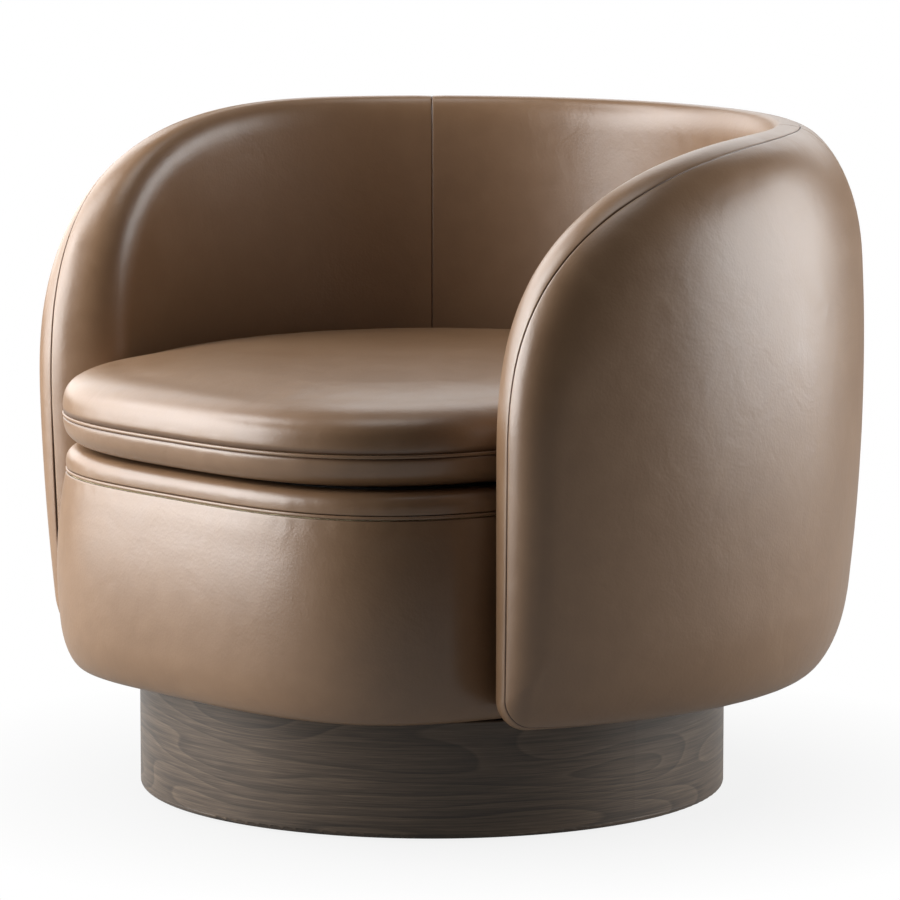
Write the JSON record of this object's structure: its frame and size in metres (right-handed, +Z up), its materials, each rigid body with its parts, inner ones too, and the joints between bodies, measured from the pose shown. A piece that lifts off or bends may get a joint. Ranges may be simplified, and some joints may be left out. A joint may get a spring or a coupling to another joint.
{
  "type": "swivel chair",
  "caption": "Barrel lounge chair: leather-covered wrap-around back and arms with a loose seat cushion, turning on a ball-bearing plate over a round wood-veneered plinth.",
  "frame": {"origin": "on the floor, at the centre of the bounding box seen from above; the swivel axis stands 40.5 mm in front of it, at y = -0.0405 m", "axes": "+Z up; the front of the seat faces -Y; +X is the sitter's left, the right-hand side seen from the front"},
  "size_m": [0.8628, 0.7838, 0.6697],
  "materials": {
    "leather": "smooth semi-gloss aniline leather, tan taupe",
    "oak_veneer": "smoked oak veneer, matt lacquer",
    "plywood": "raw plywood",
    "felt": "pressed felt",
    "nylon": "moulded nylon",
    "zinc_steel": "zinc plated",
    "bearing_steel": "polished",
    "fastener_steel": "zinc plated",
    "webbing": "woven elastic",
    "foam": "cut polyurethane foam",
    "lining_cloth": "non-woven lining"
  },
  "bodies": {
    "base": {"plinth_ring": "oak_veneer", "plinth_floor_ring": "plywood", "plinth_blocks": "plywood", "plinth_top_board": "plywood", "felt_glides": "felt", "glide_screws": "fastener_steel", "swivel_lower_plate": "zinc_steel", "lower_plate_bolts": "fastener_steel", "lower_t_nuts": "zinc_steel", "centre_pin": "zinc_steel", "pin_retaining_ring": "fastener_steel"},
    "bearing": {"ball_cage": "nylon", "bearing_balls": "bearing_steel"},
    "seat": {"swivel_upper_plate": "zinc_steel", "upper_plate_bolts": "fastener_steel", "upper_t_nuts": "zinc_steel", "seat_base_board": "plywood", "seat_ribs": "plywood", "drum_front_panel": "plywood", "deck_ring": "plywood", "seat_webbing": "webbing", "deck_foam": "foam", "deck_cloth": "lining_cloth", "drum_foam": "foam", "drum_cover": "leather", "drum_seam_strip": "leather", "drum_top_band": "leather", "dust_cover": "lining_cloth", "wall_bottom_rail": "plywood", "wall_posts": "plywood", "wall_top_rail": "plywood", "wall_inner_skin": "plywood", "wall_outer_skin": "plywood", "wall_screws": "fastener_steel", "back_inner_foam": "foam", "arm_inner_foam_right": "foam", "arm_inner_foam_left": "foam", "back_outer_foam": "foam", "arm_outer_foam_right": "foam", "arm_outer_foam_left": "foam", "back_inner_cover": "leather", "arm_inner_cover_right": "leather", "arm_inner_cover_left": "leather", "back_outer_cover": "leather", "side_outer_cover_right": "leather", "side_outer_cover_left": "leather"},
    "cushion": {"cushion_core": "foam", "cushion_top_cover": "leather", "cushion_bottom_cover": "leather", "cushion_seam_strip": "leather"}
  },
  "joints": [
    {"name": "swivel", "type": "hinge", "parent": "base", "child": "seat", "pos_m": [0, -0.0405, 0.12], "axis": [0, 0, 1], "continuous": true},
    {"name": "bearing_spin", "type": "hinge", "parent": "base", "child": "bearing", "pos_m": [0, -0.0405, 0.12], "axis": [0, 0, 1], "continuous": true},
    {"name": "cushion_lift", "type": "slide", "parent": "seat", "child": "cushion", "axis": [0, 0, 1], "range_m": [0, 0.35]}
  ],
  "couplings": [
    {"joint": "bearing_spin", "follows": "swivel", "ratio": 0.5}
  ]
}
